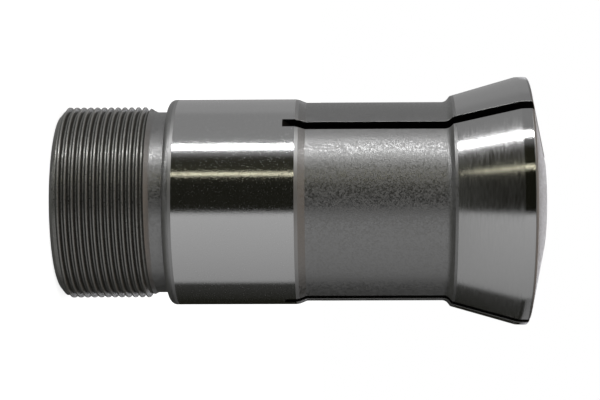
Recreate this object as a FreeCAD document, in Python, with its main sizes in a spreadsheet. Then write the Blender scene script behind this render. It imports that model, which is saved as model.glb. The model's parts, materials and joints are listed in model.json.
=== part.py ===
# Draw-type steady rest collet, turned, threaded, slotted and ground from one bar of tool steel.
# The axis is +Z: the threaded rear face lies in the plane Z = 0 and the nose points up.
# The thread is of 1 mm pitch, right hand: its spigot has the diameter of the crests, a chamfer where
# the nut starts and the relief where the thread ends.
import FreeCAD, Part
import Sketcher
import math
import os

NODE = "collet_body"

# Driving dimensions in millimetres and degrees: name, value, what it is
DIMENSIONS = [
    ("overall_length", 70.0, "rear face to nose"),
    ("thread_diameter", 28.0, "nominal size of the rear thread"),
    ("thread_allowance", 0.05, "crests stand under the nominal radius by this"),
    ("rear_chamfer_length", 1.0, "along the axis"),
    ("rear_chamfer_depth", 1.25, "across the thread"),
    ("shoulder_height", 15.7, "rear face to the end of the ground shank"),
    ("relief_width", 1.9, "floor of the thread relief, along the axis"),
    ("relief_depth", 0.8, "under the nominal thread radius"),
    ("relief_runout_angle", 30.0, "of the cone that ends the thread"),
    ("shank_diameter", 30.0, "ground guide diameter"),
    ("shank_length", 19.05, "shoulder to the chamfer at the neck"),
    ("shank_chamfer", 1.0, "rear corner of the shank, both ways"),
    ("neck_relief", 0.5, "neck radius under the shank radius"),
    ("neck_chamfer_length", 1.0, "chamfer from the shank down to the neck"),
    ("neck_length", 21.85, "chamfer start to the head"),
    ("neck_corner_radius", 1.2, "turning tool radius under the head"),
    ("head_diameter", 36.2, "over the land"),
    ("head_cone_angle", 16.0, "half angle of the closing cone"),
    ("head_blend_radius", 4.0, "between the cone and the land"),
    ("land_length", 0.16, "straight part of the rim between its two radii"),
    ("nose_corner_radius", 0.85, "between the land and the nose"),
    ("nose_angle", 13.0, "nose from the plane square to the axis"),
    ("nose_rim", 0.1, "flat ring round the bore's mouth"),
    ("guide_diameter", 15.0, "guide bore in the head"),
    ("guide_length", 22.0, "nose to the inner step"),
    ("guide_mouth_chamfer", 0.2, "broken edge of the guide bore"),
    ("step_length", 3.5, "inner cone between the two bores"),
    ("rear_wall", 1.95, "steel left under the thread relief"),
    ("rear_mouth_chamfer", 0.3, "broken edge of the rear bore"),
    ("slot_count", 3, "equal slots round the axis"),
    ("slot_width", 1.5, "thickness of the slotting saw"),
    ("slot_length", 37.55, "nose to the slot's end on the shank"),
    ("slot_direction", 222.0, "of the first slot, from +X towards +Y"),
    ("saw_radius", 30.0, "curves the slot's end through the wall"),
    ("saw_overcut", 1.5, "the saw passes inside the guide bore by this"),
    ("cut_reach", 3.0, "how far a cut runs on outside the metal"),
]

# Sizes that several features share. Each follows from the sheet and from the ones above it.
SHARED_SIZES = [
    ("crest_radius", "Size.thread_diameter / 2 - Size.thread_allowance"),
    ("relief_radius", "Size.thread_diameter / 2 - Size.relief_depth"),
    ("shank_radius", "Size.shank_diameter / 2"),
    ("neck_radius", "Form.shank_radius - Size.neck_relief"),
    ("head_radius", "Size.head_diameter / 2"),
    ("guide_radius", "Size.guide_diameter / 2"),
    ("rear_radius", "Form.relief_radius - Size.rear_wall"),
    ("nose_radius", "Form.guide_radius + Size.guide_mouth_chamfer + Size.nose_rim"),
    ("outside_radius", "Form.head_radius + Size.cut_reach"),
    ("relief_start", "Size.shoulder_height - Size.relief_width"),
    ("runout_length", "(Form.shank_radius - Form.relief_radius) / tan(Size.relief_runout_angle * 1 deg)"),
    ("shank_end", "Size.shoulder_height + Size.shank_length"),
    ("head_start", "Form.shank_end + Size.neck_length"),
    ("nose_rise", "(Form.head_radius - Form.nose_radius) * tan(Size.nose_angle * 1 deg)"),
    ("rim_front", "Size.overall_length - Form.nose_rise"),
    ("corner_reach", "Size.nose_corner_radius * tan(45 deg - Size.nose_angle / 2 * 1 deg)"),
    ("blend_reach", "Size.head_blend_radius * tan(Size.head_cone_angle / 2 * 1 deg)"),
    ("rim_back", "Form.rim_front - Form.corner_reach - Size.land_length - Form.blend_reach"),
    ("cone_rise", "(Form.head_radius - Form.shank_radius) / tan(Size.head_cone_angle * 1 deg)"),
    ("cone_start", "Form.rim_back - Form.cone_rise"),
    ("step_front", "Size.overall_length - Size.guide_length"),
    ("slot_end", "Size.overall_length - Size.slot_length"),
    ("saw_floor", "Form.guide_radius - Size.saw_overcut"),
    ("saw_axis_radius", "Form.saw_floor + Size.saw_radius"),
    ("saw_axis_height", "Form.slot_end + sqrt(Size.saw_radius ^ 2 - "
                        "(Form.saw_axis_radius - Form.shank_radius) ^ 2)"),
    ("saw_entry_height", "Form.saw_axis_height - sqrt(Size.saw_radius ^ 2 - "
                         "(Form.saw_axis_radius - Form.outside_radius) ^ 2)"),
]

EDGE_TOLERANCE = 0.001
FULL_TURN = 360.0


# The sheet, and the sizes that follow from it

def make_sheet(doc):
    """A spreadsheet with one named cell for each driving dimension."""
    sheet = doc.addObject("Spreadsheet::Sheet", "Size")
    for row, (name, value, note) in enumerate(DIMENSIONS, start=1):
        sheet.set(f"A{row}", name)
        sheet.set(f"B{row}", str(value))
        sheet.set(f"C{row}", note)
        sheet.setAlias(f"B{row}", name)
    doc.recompute()
    return sheet


def make_form(doc):
    """A set of the shared sizes, so that every feature reads the same value."""
    form = doc.addObject("App::VarSet", "Form")
    for name, formula in SHARED_SIZES:
        form.addProperty("App::PropertyFloat", name)
        form.setExpression(name, formula)
    doc.recompute()
    return form


# Sketches: each lies in a half plane through the axis, with radius across and height up

def origin_feature(body, role):
    return next(part for part in body.Origin.OriginFeatures if part.Role == role)


def half_plane_sketch(body, name):
    sketch = body.newObject("Sketcher::SketchObject", name)
    sketch.AttachmentSupport = [(origin_feature(body, "XZ_Plane"), "")]
    sketch.MapMode = "FlatFace"
    return sketch


def clockwise_arc(start, stop, radius):
    """The short arc of this radius that turns clockwise from start to stop."""
    chord = stop - start
    rise = math.sqrt(radius ** 2 - (chord.Length / 2) ** 2)
    across = FreeCAD.Vector(chord.y, -chord.x, 0).normalize()
    circle = Part.Circle((start + stop) * 0.5 + across * rise, FreeCAD.Vector(0, 0, 1), radius)
    return Part.ArcOfCircle(circle, circle.parameter(stop), circle.parameter(start))


def drive(sketch, constraint, name, formula):
    """Add a dimension to the sketch, name it and tie it to its formula."""
    sketch.renameConstraint(sketch.addConstraint(constraint), name)
    sketch.setExpression(f"Constraints.{name}", formula)


def place_corner(sketch, side, end, direction, name, formula):
    """Hold a corner on an axis, or at a driven distance from it."""
    if formula == "0":
        axis = {"X": -2, "Y": -1}[direction]
        sketch.addConstraint(Sketcher.Constraint("PointOnObject", side, end, axis))
        return
    value = sketch.evalExpression(formula)
    distance = Sketcher.Constraint(f"Distance{direction}", -1, 1, side, end, value)
    drive(sketch, distance, name, formula)


def closed_outline(sketch, corners, arcs=()):
    """Join corners (name, radius, height) in a ring and drive each one by its formulas.

    arcs holds (corner, radius) for each side that is a clockwise arc from that corner on.
    """
    arc_radii = dict(arcs)
    points = [FreeCAD.Vector(sketch.evalExpression(radius), sketch.evalExpression(height), 0)
              for _, radius, height in corners]
    sides = []
    for (name, _, _), start, stop in zip(corners, points, points[1:] + points[:1]):
        if name in arc_radii:
            radius = sketch.evalExpression(arc_radii[name])
            sides.append((sketch.addGeometry(clockwise_arc(start, stop, radius)), 2, 1))
        else:
            sides.append((sketch.addGeometry(Part.LineSegment(start, stop)), 1, 2))
    for (side, _, last), (following, first, _) in zip(sides, sides[1:] + sides[:1]):
        sketch.addConstraint(Sketcher.Constraint("Coincident", side, last, following, first))
    for (name, radius, height), (side, first, _) in zip(corners, sides):
        place_corner(sketch, side, first, "X", f"{name}_radius", radius)
        place_corner(sketch, side, first, "Y", f"{name}_height", height)
        if name in arc_radii:
            value = sketch.evalExpression(arc_radii[name])
            arc = Sketcher.Constraint("Radius", side, value)
            drive(sketch, arc, f"{name}_arc", arc_radii[name])


# Features

def turned(doc, body, kind, name, sketch):
    """A full turn of the sketch about the axis, added to the body or cut away from it."""
    feature = body.newObject(kind, name)
    feature.Profile = sketch
    feature.ReferenceAxis = (sketch, ["V_Axis"])
    feature.Angle = FULL_TURN
    doc.recompute()
    return feature


def require_cut(feature, before):
    """A cut that misses the metal shows no error, so its volume is compared."""
    if not feature.Shape.Volume < before.Shape.Volume:
        raise RuntimeError(f"{feature.Name} removed nothing")
    return feature


def circle_edges(shape, radius, height):
    """Names of the circular edges of this radius at this height."""
    names = []
    for index, edge in enumerate(shape.Edges, start=1):
        if isinstance(edge.Curve, Part.Circle):
            radius_error = abs(edge.Curve.Radius - radius)
            height_error = abs(edge.Curve.Center.z - height)
            if max(radius_error, height_error) < EDGE_TOLERANCE:
                names.append(f"Edge{index}")
    return names


def make_blank(doc, body):
    """The outside as it leaves the lathe: nose, rounded rim, cone, shank and rear spigot."""
    sketch = half_plane_sketch(body, "blank_profile")
    closed_outline(sketch, [
        ("rear_centre", "0", "0"),
        ("front_centre", "0", "Size.overall_length"),
        ("nose", "Form.nose_radius", "Size.overall_length"),
        ("corner_front", "Form.head_radius - Form.corner_reach * cos(Size.nose_angle * 1 deg)",
         "Form.rim_front + Form.corner_reach * sin(Size.nose_angle * 1 deg)"),
        ("corner_back", "Form.head_radius", "Form.rim_front - Form.corner_reach"),
        ("blend_front", "Form.head_radius", "Form.rim_back + Form.blend_reach"),
        ("blend_back", "Form.head_radius - Form.blend_reach * sin(Size.head_cone_angle * 1 deg)",
         "Form.rim_back - Form.blend_reach * cos(Size.head_cone_angle * 1 deg)"),
        ("cone_foot", "Form.shank_radius", "Form.cone_start"),
        ("shoulder", "Form.shank_radius", "Size.shoulder_height"),
        ("shoulder_foot", "Form.crest_radius", "Size.shoulder_height"),
        ("rear_chamfer", "Form.crest_radius", "Size.rear_chamfer_length"),
        ("rear_face", "Form.crest_radius - Size.rear_chamfer_depth", "0"),
    ], arcs=[
        ("corner_front", "Size.nose_corner_radius"),
        ("blend_front", "Size.head_blend_radius"),
    ])
    return turned(doc, body, "PartDesign::Revolution", "blank", sketch)


def cut_thread_relief(doc, body, base):
    """The groove that the threading tool runs out into, with its cone at the thread's end."""
    sketch = half_plane_sketch(body, "relief_profile")
    closed_outline(sketch, [
        ("floor_rear", "Form.relief_radius", "Form.relief_start"),
        ("floor_front", "Form.relief_radius", "Size.shoulder_height"),
        ("tool_front", "Form.shank_radius", "Size.shoulder_height"),
        ("tool_rear", "Form.shank_radius", "Form.relief_start - Form.runout_length"),
    ])
    return require_cut(turned(doc, body, "PartDesign::Groove", "thread_relief", sketch), base)


def chamfer_shank(doc, body, base, sheet, form):
    """The rear corner of the shank, chamfered so that it leads into a sleeve."""
    corner = circle_edges(base.Shape, form.shank_radius, sheet.shoulder_height)
    chamfer = body.newObject("PartDesign::Chamfer", "shank_corner")
    chamfer.Base = (base, corner)
    chamfer.setExpression("Size", "Size.shank_chamfer")
    doc.recompute()
    return require_cut(chamfer, base)


def cut_neck(doc, body, base):
    """The long relieved neck, chamfered down from the shank, with the tool's radius at the head."""
    sketch = half_plane_sketch(body, "neck_profile")
    closed_outline(sketch, [
        ("chamfer_top", "Form.shank_radius", "Form.shank_end"),
        ("chamfer_foot", "Form.neck_radius", "Form.shank_end + Size.neck_chamfer_length"),
        ("corner_start", "Form.neck_radius", "Form.head_start - Size.neck_corner_radius"),
        ("corner_end", "Form.neck_radius + Size.neck_corner_radius", "Form.head_start"),
        ("tool_front", "Form.outside_radius", "Form.head_start"),
        ("tool_rear", "Form.outside_radius", "Form.shank_end"),
    ], arcs=[("corner_start", "Size.neck_corner_radius")])
    return require_cut(turned(doc, body, "PartDesign::Groove", "neck", sketch), base)


def cut_bores(doc, body, base):
    """Guide bore in the head, cone, and the wider rear bore, with broken edges at both mouths."""
    sketch = half_plane_sketch(body, "bore_profile")
    closed_outline(sketch, [
        ("rear_axis", "0", "0"),
        ("rear_mouth", "Form.rear_radius + Size.rear_mouth_chamfer", "0"),
        ("rear_bore", "Form.rear_radius", "Size.rear_mouth_chamfer"),
        ("step_rear", "Form.rear_radius", "Form.step_front - Size.step_length"),
        ("step_front", "Form.guide_radius", "Form.step_front"),
        ("guide_bore", "Form.guide_radius", "Size.overall_length - Size.guide_mouth_chamfer"),
        ("guide_mouth", "Form.guide_radius + Size.guide_mouth_chamfer", "Size.overall_length"),
        ("front_axis", "0", "Size.overall_length"),
    ])
    return require_cut(turned(doc, body, "PartDesign::Groove", "bores", sketch), base)


def cut_slots(doc, body, base):
    """The saw cuts that part the head and neck into fingers, round-ended through the wall."""
    sketch = half_plane_sketch(body, "slot_profile")
    upright = FreeCAD.Rotation(FreeCAD.Vector(0, 1, 0), 1.0)
    sketch.AttachmentOffset = FreeCAD.Placement(FreeCAD.Vector(), upright)
    sketch.setExpression("AttachmentOffset.Rotation.Angle", "Size.slot_direction * 1 deg")
    closed_outline(sketch, [
        ("saw_entry", "Form.outside_radius", "Form.saw_entry_height"),
        ("saw_bottom", "Form.saw_floor", "Form.saw_axis_height"),
        ("floor_front", "Form.saw_floor", "Size.overall_length + Size.cut_reach"),
        ("tool_front", "Form.outside_radius", "Size.overall_length + Size.cut_reach"),
    ], arcs=[("saw_entry", "Size.saw_radius")])
    slot = body.newObject("PartDesign::Pocket", "slot")
    slot.Profile = sketch
    slot.SideType = "Symmetric"
    slot.setExpression("Length", "Size.slot_width")
    doc.recompute()
    require_cut(slot, base)

    pattern = body.newObject("PartDesign::PolarPattern", "slots")
    pattern.Originals = [slot]
    pattern.Axis = (origin_feature(body, "Z_Axis"), [""])
    pattern.Angle = FULL_TURN
    pattern.setExpression("Occurrences", "Size.slot_count")
    body.Tip = pattern
    doc.recompute()
    return require_cut(pattern, slot)


def make_collet(doc, sheet, form):
    body = doc.addObject("PartDesign::Body", NODE)
    body.Label = NODE
    base = make_blank(doc, body)
    base = cut_thread_relief(doc, body, base)
    base = chamfer_shank(doc, body, base, sheet, form)
    base = cut_neck(doc, body, base)
    base = cut_bores(doc, body, base)
    cut_slots(doc, body, base)
    return body


# Checks and the written solid

def check_document(doc, body):
    """Recompute can leave a feature failed without saying so."""
    for item in doc.Objects:
        if "Invalid" in item.State or "Error" in item.State:
            raise RuntimeError(f"{item.Label} failed: {item.State}")
    if body.Shape.isNull() or not body.Shape.isValid():
        raise RuntimeError(f"{body.Label} has no valid shape")
    if len(body.Shape.Solids) != 1:
        raise RuntimeError(f"{body.Label} is not one solid")


def main():
    doc = FreeCAD.newDocument("SteadyRestCollet")
    sheet = make_sheet(doc)
    form = make_form(doc)
    body = make_collet(doc, sheet, form)
    check_document(doc, body)
    os.makedirs("parts", exist_ok=True)
    body.Shape.exportStep(f"parts/{body.Label}.step")


main()
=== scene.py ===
# Looks of the steady rest collet: one turned, threaded, slotted and ground bar of tool steel,
# standing on its threaded rear face, with its axis along +Z. Lengths below are in millimetres.
import json
import math

import bmesh
import bpy
from mathutils import Matrix, Vector


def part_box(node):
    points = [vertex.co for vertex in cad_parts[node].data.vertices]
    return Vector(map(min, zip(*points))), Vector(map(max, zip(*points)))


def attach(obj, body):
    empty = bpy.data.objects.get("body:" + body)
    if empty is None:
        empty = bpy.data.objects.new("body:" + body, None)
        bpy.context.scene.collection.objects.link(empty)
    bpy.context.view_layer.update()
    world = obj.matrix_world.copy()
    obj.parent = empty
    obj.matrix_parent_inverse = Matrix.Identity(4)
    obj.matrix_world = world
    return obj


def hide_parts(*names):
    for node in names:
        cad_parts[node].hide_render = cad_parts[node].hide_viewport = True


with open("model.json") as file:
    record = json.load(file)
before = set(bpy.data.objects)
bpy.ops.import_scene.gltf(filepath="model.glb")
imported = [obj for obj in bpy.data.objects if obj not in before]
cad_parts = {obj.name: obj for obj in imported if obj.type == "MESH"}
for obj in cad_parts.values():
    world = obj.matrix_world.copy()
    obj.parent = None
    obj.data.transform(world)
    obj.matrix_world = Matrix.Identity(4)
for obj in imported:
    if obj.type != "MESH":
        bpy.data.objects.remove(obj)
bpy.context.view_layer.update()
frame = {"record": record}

MM = 0.001
NODE = "collet_body"
MOUNT_SIZES = {mount["name"]: mount["dims"] for mount in frame["record"]["mounts"]}

# Outline, from the frame where the frame gives it
solid_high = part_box(NODE)[1]
LENGTH = solid_high.z / MM
HEAD_RADIUS = solid_high.x / MM
SHANK_RADIUS = MOUNT_SIZES["ground_shank"]["r_mm"]
GUIDE_RADIUS = MOUNT_SIZES["guide_bore"]["r_mm"]
REAR_RADIUS = MOUNT_SIZES["rear_bore"]["r_mm"]

REAR_CHAMFER_LENGTH = 1.0
REAR_CHAMFER_DEPTH = 1.25
RELIEF_RADIUS = 13.2
RELIEF_START = 13.95
RELIEF_JOIN = 14.15
RUNOUT_ANGLE = 30.0
SHOULDER = 15.8
SHANK_CORNER = 1.0
SHANK_JOIN = 31.0
SHANK_END = 34.75
UNGROUND_REAR = 0.4
UNGROUND_FRONT = 0.5
FRONT_EDGE_DROP = 0.1
NECK_RADIUS = SHANK_RADIUS - 0.5
NECK_CHAMFER = 1.0
HEAD_START = SHANK_END + 21.85
NECK_CORNER = 1.1
HEAD_BACK_ANGLE = 52.0
CONE_ANGLE = 16.0
CONE_UNGROUND = 0.4
LAND_CROWN = 14.0
LAND_CROWN_ANGLE = 5.0
LAND_STRAIGHT = 0.2
NOSE_CORNER = 0.4
NOSE_ANGLE = 12.7
NOSE_RIM = 0.1
GUIDE_LENGTH = 22.0
GUIDE_MOUTH = 0.2
STEP_LENGTH = 3.5
REAR_MOUTH = 0.3

# Thread: metric form, 1 mm pitch, right hand
PITCH = 1.0
CREST_RADIUS = 13.95
ROOT_RADIUS = 13.387
ROOT_FLAT = 0.167
THREAD_TURNS = 15
THREAD_START = 0.11
FLANK_ANGLE = 30.0
CREST_ROUND = 0.05
THREAD_TRIM = 14.0
THREAD_MERGE = 0.004
TURNED_DOWN_REACH = 0.02

# Saw slots
SLOT_ANGLES = (222.0, 342.0, 102.0)
SLOT_HALF_WIDTH = 0.8
SLOT_END = 32.45
SAW_RADIUS = 30.0
SAW_FLOOR = GUIDE_RADIUS - 1.5
BREAK_WIDTH = 0.1
BREAK_DEPTH = 0.05
CUT_REACH = 2.0

TURN_STEPS = 360
THREAD_STEPS = 180
SECTORS = 12
ARC_STEP = 11.0
CREST_STEPS = 3
RING_MERGE = 0.0005
BRIDGE_REACH = 0.3
SHARP_ANGLE = 20.0

# Finishes, in the order of the piece's material slots, and the face where its two halves join
THREADED, GROUND, BLASTED, GROUND_CONE, GROUND_LAND, SAWN, BORED, BROKEN, JOINT = range(9)

# Noise of the marks, whose coordinates count in grains
NOISE = {"Scale": 1.0, "Detail": 2.0, "Roughness": 0.6}

# Marks of the finishes, as millimetres around and along the axis, and their depths. The real ones
# are 0.005 to 0.05 mm across, too fine to show, so each is drawn as coarse as it needs to show.
GRIND_LINE = (9.0, 0.2)
GRIND_LINE_DEPTH = 0.002
MARK_WIDTH = 0.1
MARK_DEPTH = 0.006
MARK_EDGE = 0.2
GROUND_ANISOTROPY = 0.6
QUARTER_TURN = 0.25
DIMPLE = 0.2
DIMPLE_DEPTH = 0.006
DIMPLE_RANGE = (0.2, 0.8)
DIMPLE_ROUGHNESS = (0.3, 0.52)
TOOL_LINE = (2.0, 0.12)
TOOL_LINE_DEPTH = 0.003
TOOL_GRAIN = 0.12
TOOL_GRAIN_RANGE = (0.32, 0.56)
TOOL_GRAIN_ROUGHNESS = (0.1, 0.6)
SAW_LINE = (2.0, 0.2)
SAW_LINE_DEPTH = 0.01
HONE_LINE = (6.0, 0.15)
HONE_LINE_DEPTH = 0.003
STONE_GRAIN = (0.3, 0.3)
STONE_GRAIN_DEPTH = 0.002

# The thread's steel from its root to its crest, with the flanks darker as painted shade for the grooves
# between the turns
THREAD_STEEL_AND_PAINTED_SHADE = ((0, "#8b8b88"), (0.18, "#676764"), (0.7, "#676764"), (0.92, "#9a9a97"))

# The room that the steel mirrors: walls by their angle, as toward() counts it, and the rest by the
# parts of a direction, from where each begins to where it is full
WALLS = (
    (165, "#a2a2a2"), (122, "#a2a2a2"), (114, "#969696"), (60, "#969696"), (50, "#28281e"),
    (30, "#28281e"), (24, "#191912"), (-10, "#191912"), (-13, "#c0c0c0"), (-99.5, "#a2a2a2"),
    (-103.5, "#3a3a38"), (-150, "#191912"), (178, "#191912"),
)
BENCH = "#686864"
BENCH_HEIGHTS = (-0.35, -0.85)
CEILING = "#a39588"
CEILING_HEIGHTS = (0.4, 0.7)
LOW_WALL = "#848484"
LOW_WALL_BELOW = (0.4, 0.5)
LOW_WALL_BEHIND = (0.17, 0.24)
LOW_WALL_HEIGHTS = (0.03, 0.07, 0.13, 0.18)
PAPER = "#f2f2f8"
PAPER_STRENGTH = 2.0
PAPER_HEIGHTS = (0.08, 0.16)
PAPER_BEHIND = (0.86, 0.93)
PLAIN_LIGHT = 0.5
STRIP_DISTANCE = 600
OVERHEAD_SIZE = 500
OVERHEAD_RADIANCE = 0.2
OVERHEAD_PLACE = (-100, -100, 600)

FLOOR_RADIUS = 2000
FLOOR_SEGMENTS = 96
FLOOR_GLOW = 0.75

# Camera: its rise and height are where it stands, and the dip and lean turn it from square
CAMERA_DISTANCE = 249.6
CAMERA_HEIGHT = 42.5
CAMERA_RISE = 0.23
CAMERA_DIP = 0.85
CAMERA_LEAN = 0.22
CAMERA_LENS = 102.1
CAMERA_SENSOR = 36.0
CAMERA_SHIFT = -0.0467
CAMERA_NEAR = 10
CAMERA_FAR = 10000


# Outline

def arc(centre, radius, start, stop):
    """Points on an arc about (radius, height), from one angle to another in degrees."""
    steps = max(2, round(abs(stop - start) / ARC_STEP))
    angles = [math.radians(start + (stop - start) * step / steps) for step in range(steps + 1)]
    return [(centre[0] + radius * math.cos(a), centre[1] + radius * math.sin(a)) for a in angles]


def rear_bands():
    """The rear half outside: thread relief, shoulder and the start of the ground shank."""
    corner = arc((SHANK_RADIUS - SHANK_CORNER, SHOULDER + SHANK_CORNER), SHANK_CORNER, -90, 0)
    ground_start = (SHANK_RADIUS, SHOULDER + SHANK_CORNER + UNGROUND_REAR)
    return [
        (BLASTED, [(RELIEF_RADIUS, RELIEF_JOIN), (RELIEF_RADIUS, SHOULDER), *corner]),
        (BROKEN, [corner[-1], ground_start]),
        (GROUND, [ground_start, (SHANK_RADIUS, SHANK_JOIN)]),
    ]


def front_bands():
    """The front half outside: shank, neck, closing cone, land, rounded corner and shallow nose."""
    ground_end = (SHANK_RADIUS, SHANK_END - UNGROUND_FRONT)
    shank_end = (SHANK_RADIUS - FRONT_EDGE_DROP, SHANK_END)
    nose_radius = GUIDE_RADIUS + GUIDE_MOUTH + NOSE_RIM
    rim_front = LENGTH - (HEAD_RADIUS - nose_radius) * math.tan(math.radians(NOSE_ANGLE))
    land_front = rim_front - NOSE_CORNER * math.tan(math.radians(45 - NOSE_ANGLE / 2))
    corner = arc((HEAD_RADIUS - NOSE_CORNER, land_front), NOSE_CORNER, 0, 90 - NOSE_ANGLE)
    land = arc((HEAD_RADIUS - LAND_CROWN, land_front - LAND_STRAIGHT), LAND_CROWN, -LAND_CROWN_ANGLE, 0)
    widening = math.tan(math.radians(CONE_ANGLE))
    cone_start = HEAD_START + CONE_UNGROUND
    cone_ground = (land[0][0] - (land[0][1] - cone_start) * widening, cone_start)
    head_back = (cone_ground[0] - CONE_UNGROUND * widening, HEAD_START)
    neck_corner = arc((0, 0), NECK_CORNER, 180, 180 - HEAD_BACK_ANGLE)
    back_rise = head_back[0] - NECK_RADIUS - NECK_CORNER - neck_corner[-1][0]
    back_foot = HEAD_START - back_rise / math.tan(math.radians(HEAD_BACK_ANGLE))
    neck_corner = [(NECK_RADIUS + NECK_CORNER + radius, back_foot - neck_corner[-1][1] + height)
                   for radius, height in neck_corner]
    neck_start = (NECK_RADIUS, SHANK_END + NECK_CHAMFER)
    return [
        (GROUND, [(SHANK_RADIUS, SHANK_JOIN), ground_end]),
        (BROKEN, [ground_end, shank_end]),
        (BLASTED, [shank_end, neck_start, *neck_corner, head_back, cone_ground]),
        (GROUND_CONE, [cone_ground, land[0]]),
        (GROUND_LAND, land + corner[:1]),
        (BLASTED, [*corner, (nose_radius, LENGTH), (GUIDE_RADIUS + GUIDE_MOUTH, LENGTH)]),
    ]


def front_bore_bands():
    """From the nose down the guide bore, over the step and into the rear bore."""
    step_front = LENGTH - GUIDE_LENGTH
    return [
        (BORED, [(GUIDE_RADIUS + GUIDE_MOUTH, LENGTH), (GUIDE_RADIUS, LENGTH - GUIDE_MOUTH),
                 (GUIDE_RADIUS, step_front), (REAR_RADIUS, step_front - STEP_LENGTH),
                 (REAR_RADIUS, SHANK_JOIN)]),
        (JOINT, [(REAR_RADIUS, SHANK_JOIN), (SHANK_RADIUS, SHANK_JOIN)]),
    ]


def rear_bore_bands():
    """The rear bore, its broken edge and the rear face."""
    face_edge = CREST_RADIUS - REAR_CHAMFER_DEPTH - REAR_MOUTH
    return [
        (BORED, [(REAR_RADIUS, SHANK_JOIN), (REAR_RADIUS, REAR_MOUTH), (REAR_RADIUS + REAR_MOUTH, 0)]),
        (THREADED, [(REAR_RADIUS + REAR_MOUTH, 0), (face_edge, 0)]),
    ]


# Turned body and thread

def spin_outline(mesh, points, turns, steps, rise=0.0):
    """Spin an outline about the axis: a short sector first, then copies of it all the way round."""
    sector = math.tau / SECTORS
    ring = [mesh.verts.new((radius * MM, 0, height * MM)) for radius, height in points]
    edges = [mesh.edges.new(pair) for pair in zip(ring, ring[1:])]
    before = len(mesh.faces)
    about_axis = {"cent": (0, 0, 0), "axis": (0, 0, 1)}
    bmesh.ops.spin(mesh, geom=ring + edges, angle=sector, steps=steps // SECTORS,
                   dvec=(0, 0, rise * MM / steps), **about_axis)
    mesh.faces.ensure_lookup_table()
    first = mesh.faces[before:]
    copies = turns * SECTORS - 1
    bmesh.ops.spin(mesh, geom=first, angle=sector * copies, steps=copies, use_duplicate=True,
                   dvec=(0, 0, rise * MM / SECTORS), **about_axis)


def turn(mesh, points, finish):
    """Turn one band of the outline about the axis and give it its finish."""
    before = len(mesh.faces)
    spin_outline(mesh, points, 1, TURN_STEPS)
    mesh.faces.ensure_lookup_table()
    for face in mesh.faces[before:]:
        face.material_index = finish


def tooth():
    """One pitch of the thread from root to root: flat root, straight flanks, rounded crest."""
    slope = math.tan(math.radians(FLANK_ANGLE))
    flank = (CREST_RADIUS - ROOT_RADIUS) * slope
    crest_start = ROOT_FLAT / 2 + flank
    round_centre = CREST_RADIUS - CREST_ROUND
    run = CREST_ROUND * math.tan(math.radians(45 - FLANK_ANGLE / 2))
    turned = [math.radians(FLANK_ANGLE + (90 - FLANK_ANGLE) * step / CREST_STEPS)
              for step in range(CREST_STEPS + 1)]
    rising = [(round_centre + CREST_ROUND * math.sin(a), crest_start + run - CREST_ROUND * math.cos(a))
              for a in turned]
    falling = [(radius, PITCH - height) for radius, height in reversed(rising)]
    root = [(ROOT_RADIUS, 0.0), (ROOT_RADIUS, ROOT_FLAT / 2)]
    return root + rising + falling + [(ROOT_RADIUS, PITCH - ROOT_FLAT / 2), (ROOT_RADIUS, PITCH)]


def thread_limit(height):
    """Largest radius at a height: chamfered start, crests, then the cone into the relief."""
    chamfer_slope = REAR_CHAMFER_DEPTH / REAR_CHAMFER_LENGTH
    chamfer = CREST_RADIUS - REAR_CHAMFER_DEPTH + max(height, 0) * chamfer_slope
    runout = RELIEF_RADIUS + (RELIEF_START - height) * math.tan(math.radians(RUNOUT_ANGLE))
    return min(chamfer, CREST_RADIUS, max(runout, RELIEF_RADIUS))


def shape_thread():
    """The right-hand thread, run from below the rear face into the relief, then trimmed there."""
    mesh = bmesh.new()
    low = THREAD_START - PITCH
    outline = [(radius, low + height) for radius, height in tooth()]
    spin_outline(mesh, outline, THREAD_TURNS, THREAD_STEPS, rise=PITCH)
    bmesh.ops.remove_doubles(mesh, verts=mesh.verts[:], dist=THREAD_MERGE * MM)
    for vert in mesh.verts:
        radius = math.hypot(vert.co.x, vert.co.y)
        factor = min(1.0, thread_limit(vert.co.z / MM) * MM / radius)
        vert.co.x *= factor
        vert.co.y *= factor
    for height, normal in ((0.0, (0, 0, -1)), (THREAD_TRIM, (0, 0, 1))):
        bmesh.ops.bisect_plane(mesh, geom=mesh.verts[:] + mesh.edges[:] + mesh.faces[:],
                               plane_co=(0, 0, height * MM), plane_no=normal, clear_outer=True)
    for face in mesh.faces:
        centre = face.calc_center_median() / MM
        limit = thread_limit(centre.z)
        on_limit = math.hypot(centre.x, centre.y) > limit - TURNED_DOWN_REACH
        face.material_index = BLASTED if limit < CREST_RADIUS and on_limit else THREADED
    return mesh


def open_edges(mesh, height):
    """Edges with one face only that lie near a height."""
    return [edge for edge in mesh.edges
            if edge.is_boundary and abs(edge.verts[0].co.z - height * MM) < BRIDGE_REACH * MM]


def shape_rear():
    """The rear half, open where it meets the front half: thread, relief, shank and rear bore."""
    mesh = bmesh.new()
    for finish, points in rear_bands() + rear_bore_bands():
        turn(mesh, points, finish)
    thread = shape_thread()
    data = bpy.data.meshes.new("thread")
    thread.to_mesh(data)
    thread.free()
    mesh.from_mesh(data)
    bpy.data.meshes.remove(data)
    bmesh.ops.remove_doubles(mesh, verts=mesh.verts[:], dist=RING_MERGE * MM)
    for height, finish in ((0.0, THREADED), (RELIEF_JOIN, BLASTED)):
        made = bmesh.ops.bridge_loops(mesh, edges=open_edges(mesh, height))
        for face in made["faces"]:
            face.material_index = finish
    return mesh


def shape_front():
    """The front half as a closed solid, before the saw parts it into fingers."""
    mesh = bmesh.new()
    for finish, points in front_bands() + front_bore_bands():
        turn(mesh, points, finish)
    bmesh.ops.remove_doubles(mesh, verts=mesh.verts[:], dist=RING_MERGE * MM)
    bmesh.ops.recalc_face_normals(mesh, faces=mesh.faces[:])
    return mesh


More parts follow.
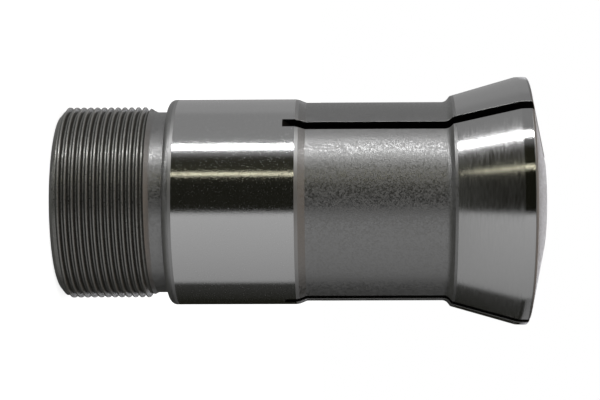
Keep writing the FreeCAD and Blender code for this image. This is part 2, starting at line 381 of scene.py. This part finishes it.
def join_halves(piece):
    """Open the front half at its joint face and sew the rear half to it."""
    front = bmesh.new()
    front.from_mesh(piece.data)
    joint = [face for face in front.faces if face.material_index == JOINT]
    bmesh.ops.delete(front, geom=joint, context="FACES")
    front.to_mesh(piece.data)
    front.free()
    whole = shape_rear()
    whole.from_mesh(piece.data)
    bmesh.ops.remove_doubles(whole, verts=whole.verts[:], dist=RING_MERGE * MM)
    bmesh.ops.recalc_face_normals(whole, faces=whole.faces[:])
    whole.to_mesh(piece.data)
    whole.free()


# Saw slots

def saw_sweep():
    """The space a saw pass clears, seen from its side: the blade's round edge ends the slot."""
    saw_axis = SAW_FLOOR + SAW_RADIUS
    saw_height = SLOT_END + math.sqrt(SAW_RADIUS ** 2 - (saw_axis - SHANK_RADIUS) ** 2)
    outside = HEAD_RADIUS + CUT_REACH
    entry_angle = 180 + math.degrees(math.acos((saw_axis - outside) / SAW_RADIUS))
    sweep = arc((saw_axis, saw_height), SAW_RADIUS, 180, entry_angle)
    return sweep + [(outside, LENGTH + CUT_REACH), (SAW_FLOOR, LENGTH + CUT_REACH)]


def around_axis(mesh, verts, angle):
    """Turn these points about the axis."""
    turned = Matrix.Rotation(math.radians(angle), 3, "Z")
    bmesh.ops.rotate(mesh, verts=verts, cent=(0, 0, 0), matrix=turned)


def saw_blades():
    """All the saw passes, as flat-walled solids."""
    mesh = bmesh.new()
    for angle in SLOT_ANGLES:
        side = [mesh.verts.new((r * MM, -SLOT_HALF_WIDTH * MM, z * MM)) for r, z in saw_sweep()]
        made = bmesh.ops.extrude_face_region(mesh, geom=[mesh.faces.new(side)])
        far = [item for item in made["geom"] if isinstance(item, bmesh.types.BMVert)]
        bmesh.ops.translate(mesh, verts=far, vec=(0, 2 * SLOT_HALF_WIDTH * MM, 0))
        around_axis(mesh, side + far, angle)
    return as_cutter(mesh, SAWN, "saw_blades")


def as_cutter(mesh, finish, name):
    """A closed tool shape that leaves its own finish on what it cuts."""
    for face in mesh.faces:
        face.material_index = finish
    bmesh.ops.recalc_face_normals(mesh, faces=mesh.faces[:])
    return as_object(mesh, name)


def slot_outline():
    """Points and outward directions of the outline along a slot, from its end to the nose."""
    points = [Vector((SHANK_RADIUS, SLOT_END + BREAK_DEPTH))]
    for _, band in front_bands():
        points += [Vector(point) for point in band if point[1] > SLOT_END + BREAK_DEPTH]
    points = [point for point, last in zip(points[1:], points) if (point - last).length > RING_MERGE]
    ways = [(b - a).normalized() for a, b in zip(points, points[1:])]
    ways = [ways[0]] + [(a + b).normalized() for a, b in zip(ways, ways[1:])] + [ways[-1]]
    return [(point, Vector((way.y, -way.x))) for point, way in zip(points, ways)]


def edge_section():
    """Across a slot: a flat on both edges, and room above them. (across, outward) points."""
    slope = BREAK_DEPTH / BREAK_WIDTH
    floor = (SLOT_HALF_WIDTH - BREAK_DEPTH, -BREAK_DEPTH * (1 + slope))
    top = (SLOT_HALF_WIDTH + BREAK_WIDTH * 2, BREAK_DEPTH)
    return [(-floor[0], floor[1]), (-top[0], top[1]), top, floor]


def edge_stones():
    """The path of a stone along both edges of every slot, which it breaks."""
    mesh = bmesh.new()
    for angle in SLOT_ANGLES:
        rings = []
        for point, outward in slot_outline():
            ring = []
            for across, out in edge_section():
                spot = point + outward * out
                ring.append(mesh.verts.new((spot.x * MM, across * MM, spot.y * MM)))
            rings.append(ring)
        for near, far in zip(rings, rings[1:]):
            for a, b, c, d in zip(near, near[1:] + near[:1], far[1:] + far[:1], far):
                mesh.faces.new((a, b, c, d))
        mesh.faces.new(rings[0])
        mesh.faces.new(rings[-1])
        around_axis(mesh, [vert for ring in rings for vert in ring], angle)
    return as_cutter(mesh, BROKEN, "edge_stones")


def as_object(mesh, name):
    """An object at the origin from a mesh being edited."""
    data = bpy.data.meshes.new(name)
    mesh.to_mesh(data)
    mesh.free()
    piece = bpy.data.objects.new(name, data)
    bpy.context.scene.collection.objects.link(piece)
    return piece


def cut_away(piece, cutter):
    """Take the cutter's space out of the piece, and the cutter out of the scene."""
    boolean = piece.modifiers.new("cut", "BOOLEAN")
    boolean.operation = "DIFFERENCE"
    boolean.solver = "EXACT"
    boolean.object = cutter
    boolean.material_mode = "INDEX"
    graph = bpy.context.evaluated_depsgraph_get()
    data = bpy.data.meshes.new_from_object(piece.evaluated_get(graph))
    piece.modifiers.clear()
    piece.data = data
    bpy.data.objects.remove(cutter)


def set_shading(piece):
    """Smooth turned faces, with crisp lines at corners and where a sawn or broken face meets another
    finish.
    """
    mesh = bmesh.new()
    mesh.from_mesh(piece.data)
    limit = math.radians(SHARP_ANGLE)
    for face in mesh.faces:
        face.smooth = True
    for edge in mesh.edges:
        if len(edge.link_faces) == 2:
            finishes = {face.material_index for face in edge.link_faces}
            sawn = len(finishes) == 2 and finishes & {SAWN, BROKEN}
            edge.smooth = not sawn and edge.calc_face_angle(0) < limit
    mesh.to_mesh(piece.data)
    mesh.free()


# Materials

def linear(hex_colour):
    """An sRGB hex colour as linear red, green, blue and alpha."""
    def channel(text):
        value = int(text, 16) / 255
        return value / 12.92 if value <= 0.04045 else ((value + 0.055) / 1.055) ** 2.4
    return (*(channel(hex_colour[i:i + 2]) for i in (1, 3, 5)), 1.0)


def add(tree, kind, settings=None, links=None):
    """Add a node, set its attributes and input values, and link outputs to its inputs."""
    node = tree.nodes.new(kind)
    for name, value in (settings or {}).items():
        if name in node.inputs:
            node.inputs[name].default_value = value
        else:
            setattr(node, name, value)
    for socket, output in (links or {}).items():
        tree.links.new(output, node.inputs[socket])
    return node


def between(start, stop, low=0.0, high=1.0):
    """Settings that turn the values from start to stop into those from low to high."""
    return {"From Min": start, "From Max": stop, "To Min": low, "To Max": high}


def set_stops(ramp, pairs):
    """Set a colour ramp's stops from (position, colour) pairs, in rising order."""
    elements = ramp.color_ramp.elements
    for (position, colour), element in zip(pairs, elements):
        element.position, element.color = position, colour
    for position, colour in pairs[len(elements):]:
        elements.new(position).color = colour


def grains(tree, around, along):
    """Object coordinates, counted in grains that are this many millimetres around and along."""
    place = add(tree, "ShaderNodeTexCoord")
    scale = (1 / (around * MM), 1 / (around * MM), 1 / (along * MM))
    counted = add(tree, "ShaderNodeMapping", {"Scale": scale}, {"Vector": place.outputs["Object"]})
    return counted.outputs["Vector"]


def steel(name, colour, roughness, anisotropic=0.0):
    """A bare steel: metallic, with the default index of refraction."""
    material = bpy.data.materials.new(name)
    material.use_nodes = True
    tree = material.node_tree
    shader = tree.nodes["Principled BSDF"]
    shader.inputs["Base Color"].default_value = linear(colour)
    shader.inputs["Metallic"].default_value = 1.0
    shader.inputs["Roughness"].default_value = roughness
    shader.inputs["Anisotropic"].default_value = anisotropic
    shader.inputs["Anisotropic Rotation"].default_value = QUARTER_TURN
    if anisotropic:
        tangent = add(tree, "ShaderNodeTangent", {"direction_type": "RADIAL", "axis": "Z"})
        tree.links.new(tangent.outputs["Tangent"], shader.inputs["Tangent"])
    return material, tree, shader


def ground_steel(name, colour, smooth, dull, mark_length, mark_start):
    """Hardened tool steel, cylindrically ground: a mirror with fine lines and duller marks."""
    material, tree, shader = steel(name, colour, smooth, GROUND_ANISOTROPY)
    lines = add(tree, "ShaderNodeTexNoise", NOISE, {"Vector": grains(tree, *GRIND_LINE)})
    marks = add(tree, "ShaderNodeTexNoise", NOISE, {"Vector": grains(tree, mark_length, MARK_WIDTH)})
    grooved = add(tree, "ShaderNodeBump", {"Distance": GRIND_LINE_DEPTH * MM},
                  {"Height": lines.outputs["Fac"]})
    marked = add(tree, "ShaderNodeBump", {"Distance": MARK_DEPTH * MM},
                 {"Height": marks.outputs["Fac"], "Normal": grooved.outputs["Normal"]})
    polish = add(tree, "ShaderNodeMapRange", between(mark_start, mark_start + MARK_EDGE, smooth, dull),
                 {"Value": marks.outputs["Fac"]})
    tree.links.new(marked.outputs["Normal"], shader.inputs["Normal"])
    tree.links.new(polish.outputs["Result"], shader.inputs["Roughness"])
    return material


def ground_shank_steel():
    """The fitted diameter: sharp light and dark bands, broken by small dull flecks."""
    return ground_steel("ground_shank_steel", "#d0d0d0", smooth=0.1, dull=0.3,
                        mark_length=0.2, mark_start=0.53)


def ground_cone_steel():
    """The closing cone, ground to a satin: the bands' edges are soft and drawn out round the axis."""
    return ground_steel("ground_cone_steel", "#c5c5c5", smooth=0.15, dull=0.24,
                        mark_length=1.5, mark_start=0.4)


def ground_land_steel():
    """The land round the nose, ground finest: the sharpest bands, with few flecks."""
    return ground_steel("ground_land_steel", "#c4c4c4", smooth=0.05, dull=0.25,
                        mark_length=0.2, mark_start=0.57)


def blasted_steel():
    """Hardened steel after bead blasting: soft grey sheen that sparkles where single dimples shine."""
    material, tree, shader = steel("bead_blasted_steel", "#989898", 0.45)
    dimples = add(tree, "ShaderNodeTexVoronoi", {"Scale": 1.0}, {"Vector": grains(tree, DIMPLE, DIMPLE)})
    dented = add(tree, "ShaderNodeBump", {"Distance": DIMPLE_DEPTH * MM},
                 {"Height": dimples.outputs["Distance"]})
    polish = add(tree, "ShaderNodeMapRange", between(*DIMPLE_RANGE, *DIMPLE_ROUGHNESS),
                 {"Value": dimples.outputs["Color"]})
    tree.links.new(dented.outputs["Normal"], shader.inputs["Normal"])
    tree.links.new(polish.outputs["Result"], shader.inputs["Roughness"])
    return material


def threaded_steel():
    """Single-point cut thread, hardened: roots and crests are bright and the flanks are painted darker, a
    painted shade for the grooves, so each turn shows two light lines."""
    material, tree, shader = steel("turned_thread_steel", "#989895", 0.4)
    place = add(tree, "ShaderNodeTexCoord")
    level = add(tree, "ShaderNodeMapping", {"Scale": (1, 1, 0)}, {"Vector": place.outputs["Object"]})
    radius = add(tree, "ShaderNodeVectorMath", {"operation": "LENGTH"}, {"Vector": level.outputs["Vector"]})
    # The colour by radius paints shade on the flanks, where the grooves mirror little light.
    height = add(tree, "ShaderNodeMapRange", between(ROOT_RADIUS * MM, CREST_RADIUS * MM),
                 {"Value": radius.outputs["Value"]})
    colour = add(tree, "ShaderNodeValToRGB", None, {"Fac": height.outputs["Result"]})
    set_stops(colour, [(position, linear(shade)) for position, shade in THREAD_STEEL_AND_PAINTED_SHADE])
    lines = add(tree, "ShaderNodeTexNoise", NOISE, {"Vector": grains(tree, *TOOL_LINE)})
    grain = add(tree, "ShaderNodeTexNoise", NOISE, {"Vector": grains(tree, TOOL_GRAIN, TOOL_GRAIN)})
    cut = add(tree, "ShaderNodeBump", {"Distance": TOOL_LINE_DEPTH * MM}, {"Height": lines.outputs["Fac"]})
    polish = add(tree, "ShaderNodeMapRange", between(*TOOL_GRAIN_RANGE, *TOOL_GRAIN_ROUGHNESS),
                 {"Value": grain.outputs["Fac"]})
    tree.links.new(colour.outputs["Color"], shader.inputs["Base Color"])
    tree.links.new(cut.outputs["Normal"], shader.inputs["Normal"])
    tree.links.new(polish.outputs["Result"], shader.inputs["Roughness"])
    return material


def lined_steel(name, colour, roughness, line, depth, anisotropic=0.0):
    """A steel with an even finish and one kind of tool mark."""
    material, tree, shader = steel(name, colour, roughness, anisotropic)
    lines = add(tree, "ShaderNodeTexNoise", NOISE, {"Vector": grains(tree, *line)})
    cut = add(tree, "ShaderNodeBump", {"Distance": depth * MM}, {"Height": lines.outputs["Fac"]})
    tree.links.new(cut.outputs["Normal"], shader.inputs["Normal"])
    return material


def sawn_steel():
    """Walls left by the slotting saw: nearly black and dull, a painted shade for the deep, dark inside of
    the slots.
    """
    # The near-black colour is painted shade of the slots' dark inside.
    return lined_steel("sawn_scaled_steel", "#201f1d", 0.6, SAW_LINE, SAW_LINE_DEPTH)


def bored_steel():
    """Honed bore: smooth, with faint lines round the axis."""
    return lined_steel("honed_bore_steel", "#a8a8a8", 0.28, HONE_LINE, HONE_LINE_DEPTH, 0.5)


def stoned_steel():
    """Edges broken by hand with a stone: a thin light line along each slot and shoulder."""
    return lined_steel("stoned_edge_steel", "#a8a8a8", 0.45, STONE_GRAIN, STONE_GRAIN_DEPTH)


# Lights

def toward(angle):
    """Level direction at an angle from the camera's side, counted upwards in the picture."""
    turned = math.radians(angle)
    return Vector((-math.sin(turned), -math.cos(turned), 0))


def area_light(name, width, height, radiance, colour, place):
    """An area light that is as bright as asked for whatever its size, and unseen by the camera."""
    data = bpy.data.lights.new(name, "AREA")
    data.shape = "RECTANGLE"
    data.size, data.size_y = width * MM, height * MM
    data.energy = radiance * math.pi * data.size * data.size_y
    data.color = linear(colour)[:3]
    lamp = bpy.data.objects.new(name, data)
    lamp.location = place
    lamp.visible_camera = False
    bpy.context.scene.collection.objects.link(lamp)
    return lamp


def strip_light(name, angle, width, height, lift, radiance, colour="#ffffff"):
    """A strip light that stands beside the collet, parallel to its axis, facing it."""
    place = toward(angle) * STRIP_DISTANCE * MM + Vector((0, 0, lift * MM))
    lamp = area_light(name, width, height, radiance, colour, place)
    lamp.rotation_euler = toward(angle).to_track_quat("Z", "Y").to_euler()


def ramp_place(angle):
    """Place of a direction, as toward() counts it, on a radial gradient."""
    return (0.25 - angle / 360) % 1


def studio_walls(tree, direction):
    """The walls round the collet, as its steel mirrors them: colours by the angle in the picture."""
    around = add(tree, "ShaderNodeTexGradient", {"gradient_type": "RADIAL"}, {"Vector": direction})
    walls = add(tree, "ShaderNodeValToRGB", None, {"Fac": around.outputs["Fac"]})
    set_stops(walls, sorted((ramp_place(angle), linear(colour)) for angle, colour in WALLS))
    return add(tree, "ShaderNodeBackground", None, {"Color": walls.outputs["Color"]})


def low_wall_share(tree, way):
    """Where the low grey wall stands: below and behind in the picture, and a little to the nose."""
    below = add(tree, "ShaderNodeMapRange", between(*LOW_WALL_BELOW), {"Value": way.outputs["X"]})
    behind = add(tree, "ShaderNodeMapRange", between(*LOW_WALL_BEHIND), {"Value": way.outputs["Y"]})
    risen = add(tree, "ShaderNodeValToRGB", None, {"Fac": way.outputs["Z"]})
    foot, foot_full, top_full, top = LOW_WALL_HEIGHTS
    none, full = linear("#000000"), linear("#ffffff")
    set_stops(risen, [(foot, none), (foot_full, full), (top_full, full), (top, none)])
    placed = add(tree, "ShaderNodeMath", {"operation": "MULTIPLY"},
                 {0: below.outputs["Result"], 1: behind.outputs["Result"]})
    return add(tree, "ShaderNodeMath", {"operation": "MULTIPLY"},
               {0: placed.outputs[0], 1: risen.outputs["Color"]})


def mirrored_room(tree):
    """The room in the steel's reflections: walls, bench, ceiling, a low wall and a sheet of paper.
    A direction's X points down in the picture, its Y behind and its Z towards the nose."""
    direction = add(tree, "ShaderNodeTexCoord").outputs["Generated"]
    way = add(tree, "ShaderNodeSeparateXYZ", None, {"Vector": direction})
    bench = add(tree, "ShaderNodeBackground", {"Color": linear(BENCH)})
    ceiling = add(tree, "ShaderNodeBackground", {"Color": linear(CEILING)})
    low_wall = add(tree, "ShaderNodeBackground", {"Color": linear(LOW_WALL)})
    paper = add(tree, "ShaderNodeBackground", {"Color": linear(PAPER), "Strength": PAPER_STRENGTH})
    down = add(tree, "ShaderNodeMapRange", between(*BENCH_HEIGHTS), {"Value": way.outputs["Z"]})
    up = add(tree, "ShaderNodeMapRange", between(*CEILING_HEIGHTS), {"Value": way.outputs["Z"]})
    raised = add(tree, "ShaderNodeMapRange", between(*PAPER_HEIGHTS), {"Value": way.outputs["Z"]})
    behind = add(tree, "ShaderNodeMapRange", between(*PAPER_BEHIND), {"Value": way.outputs["Y"]})
    on_paper = add(tree, "ShaderNodeMath", {"operation": "MULTIPLY"},
                   {0: raised.outputs["Result"], 1: behind.outputs["Result"]})
    on_low_wall = low_wall_share(tree, way)
    room = studio_walls(tree, direction)
    for share, part in ((down, bench), (up, ceiling), (on_low_wall, low_wall), (on_paper, paper)):
        room = add(tree, "ShaderNodeMixShader", None,
                   {0: share.outputs[0], 1: room.outputs[0], 2: part.outputs[0]})
    return room


def studio_world():
    """White to the camera, the room in the steel's reflections, plain light on all else."""
    world = bpy.data.worlds.new("studio")
    bpy.context.scene.world = world
    world.use_nodes = True
    tree = world.node_tree
    tree.nodes.clear()
    room = mirrored_room(tree)
    plain = add(tree, "ShaderNodeBackground", {"Color": linear("#ffffff"), "Strength": PLAIN_LIGHT})
    white = add(tree, "ShaderNodeBackground", {"Color": linear("#ffffff"), "Strength": 1.0})
    ray = add(tree, "ShaderNodeLightPath")
    mirrored = add(tree, "ShaderNodeMath", {"operation": "MAXIMUM"},
                   {0: ray.outputs["Is Glossy Ray"], 1: ray.outputs["Is Transmission Ray"]})
    inner = add(tree, "ShaderNodeMixShader", None,
                {0: mirrored.outputs[0], 1: plain.outputs[0], 2: room.outputs[0]})
    outer = add(tree, "ShaderNodeMixShader", None,
                {0: ray.outputs["Is Camera Ray"], 1: inner.outputs[0], 2: white.outputs[0]})
    add(tree, "ShaderNodeOutputWorld", None, {"Surface": outer.outputs[0]})


# Floor

def pale_floor():
    """Matt white board: the glow brings it up to white for the camera, but for the shadow. Mirrored
    and shadow rays pass through it, so that the steel shows the room instead."""
    material = bpy.data.materials.new("pale_floor")
    material.use_nodes = True
    tree = material.node_tree
    tree.nodes.clear()
    matte = add(tree, "ShaderNodeBsdfDiffuse", {"Color": linear("#e8e8e6")})
    glow = add(tree, "ShaderNodeEmission", {"Color": linear("#ffffff"), "Strength": FLOOR_GLOW})
    lit = add(tree, "ShaderNodeAddShader", None, {0: matte.outputs[0], 1: glow.outputs[0]})
    clear = add(tree, "ShaderNodeBsdfTransparent")
    ray = add(tree, "ShaderNodeLightPath")
    shown = add(tree, "ShaderNodeMixShader", None,
                {0: ray.outputs["Is Camera Ray"], 1: matte.outputs[0], 2: lit.outputs[0]})
    passed = add(tree, "ShaderNodeMath", {"operation": "MAXIMUM"},
                 {0: ray.outputs["Is Glossy Ray"], 1: ray.outputs["Is Shadow Ray"]})
    surface = add(tree, "ShaderNodeMixShader", None,
                  {0: passed.outputs[0], 1: shown.outputs[0], 2: clear.outputs[0]})
    add(tree, "ShaderNodeOutputMaterial", None, {"Surface": surface.outputs[0]})
    return material


def studio_floor():
    """A round floor under the collet that the camera sees as a white page."""
    mesh = bmesh.new()
    bmesh.ops.create_circle(mesh, cap_ends=True, segments=FLOOR_SEGMENTS, radius=FLOOR_RADIUS * MM)
    floor = as_object(mesh, "studio_floor")
    floor.data.materials.append(pale_floor())


# Camera

def set_camera():
    """A camera beside the collet, rolled so that the nose points right in the picture."""
    data = bpy.data.cameras.new("camera")
    data.lens = CAMERA_LENS
    data.sensor_width = CAMERA_SENSOR
    data.shift_x = CAMERA_SHIFT
    data.clip_start, data.clip_end = CAMERA_NEAR * MM, CAMERA_FAR * MM
    dip, lean = math.radians(CAMERA_DIP), math.radians(CAMERA_LEAN)
    back = Vector((0, -math.cos(dip), math.sin(dip)))
    right, up = Vector((0, math.sin(dip), math.cos(dip))), Vector((-1, 0, 0))
    leaned_right = right * math.cos(lean) - up * math.sin(lean)
    leaned_up = up * math.cos(lean) + right * math.sin(lean)
    aim = Matrix((leaned_right, leaned_up, back)).transposed()
    place = Vector((-CAMERA_RISE, -CAMERA_DISTANCE, CAMERA_HEIGHT)) * MM
    camera = bpy.data.objects.new("camera", data)
    camera.matrix_world = Matrix.Translation(place) @ aim.to_4x4()
    bpy.context.scene.collection.objects.link(camera)
    bpy.context.scene.camera = camera


def make_collet():
    """The whole collet as one piece, with a material for each finish in the finishes' order."""
    collet = as_object(shape_front(), "collet_steel")
    cut_away(collet, saw_blades())
    cut_away(collet, edge_stones())
    join_halves(collet)
    set_shading(collet)
    for material in (threaded_steel(), ground_shank_steel(), blasted_steel(), ground_cone_steel(),
                     ground_land_steel(), sawn_steel(), bored_steel(), stoned_steel()):
        collet.data.materials.append(material)
    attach(collet, "root")
    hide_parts(NODE)


make_collet()
studio_floor()
studio_world()
strip_light("white_strip", angle=62.6, width=38, height=1350, lift=-225, radiance=16)
strip_light("warm_strip", angle=30.5, width=13, height=800, lift=198, radiance=3.6, colour="#fffadc")
area_light("overhead_softbox", OVERHEAD_SIZE, OVERHEAD_SIZE, OVERHEAD_RADIANCE, "#ffffff",
           Vector(OVERHEAD_PLACE) * MM)
set_camera()

bpy.context.scene.view_settings.view_transform = "Standard"
